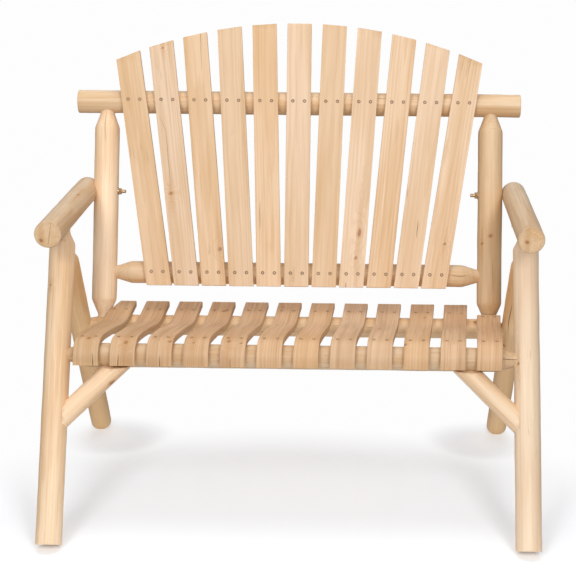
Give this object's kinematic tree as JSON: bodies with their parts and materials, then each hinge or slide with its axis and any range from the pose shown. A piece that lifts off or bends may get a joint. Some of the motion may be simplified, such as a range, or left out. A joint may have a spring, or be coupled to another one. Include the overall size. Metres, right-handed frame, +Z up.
{
  "type": "log bench",
  "caption": "Rustic bench of peeled round logs with splayed side frames, round armrests, knee braces, fanned arched back slats and curved seat slats.",
  "frame": {"origin": "on the floor, below the middle of the bench's box", "axes": "+X to the right as seen from the front, along the seat; +Y to the back; +Z up; the seat faces -Y"},
  "size_m": [1.0728, 0.7541, 1.0312],
  "materials": {
    "peeled_log": "satin, sanded bare softwood",
    "back_slat_wood": "satin, planed bare softwood",
    "seat_slat_wood": "satin, planed bare softwood",
    "dark_screws": "dark bronze coating",
    "plain_steel": "plain",
    "plated_bolts": "yellow zinc plate"
  },
  "bodies": {
    "root": {"front_leg_left": "peeled_log", "front_leg_right": "peeled_log", "rear_leg_left": "peeled_log", "rear_leg_right": "peeled_log", "armrest_left": "peeled_log", "armrest_right": "peeled_log", "back_post_left": "peeled_log", "back_post_right": "peeled_log", "top_rail": "peeled_log", "lower_back_rail": "peeled_log", "seat_front_rail": "peeled_log", "seat_rear_rail": "peeled_log", "brace_left": "peeled_log", "brace_right": "peeled_log", "back_slat_01": "back_slat_wood", "back_slat_02": "back_slat_wood", "back_slat_03": "back_slat_wood", "back_slat_04": "back_slat_wood", "back_slat_05": "back_slat_wood", "back_slat_06": "back_slat_wood", "back_slat_07": "back_slat_wood", "back_slat_08": "back_slat_wood", "back_slat_09": "back_slat_wood", "back_slat_10": "back_slat_wood", "back_slat_11": "back_slat_wood", "seat_slat_01": "seat_slat_wood", "seat_slat_02": "seat_slat_wood", "seat_slat_03": "seat_slat_wood", "seat_slat_04": "seat_slat_wood", "seat_slat_05": "seat_slat_wood", "seat_slat_06": "seat_slat_wood", "seat_slat_07": "seat_slat_wood", "seat_slat_08": "seat_slat_wood", "seat_slat_09": "seat_slat_wood", "seat_slat_10": "seat_slat_wood", "seat_slat_11": "seat_slat_wood", "seat_slat_12": "seat_slat_wood", "back_slat_screws": "dark_screws", "seat_slat_screws": "dark_screws", "brace_screws": "dark_screws", "tenon_nails": "plain_steel", "arm_bolts": "plated_bolts", "arm_bolt_washers": "plated_bolts", "arm_bolt_nuts": "plated_bolts"}
  },
  "joints": []
}
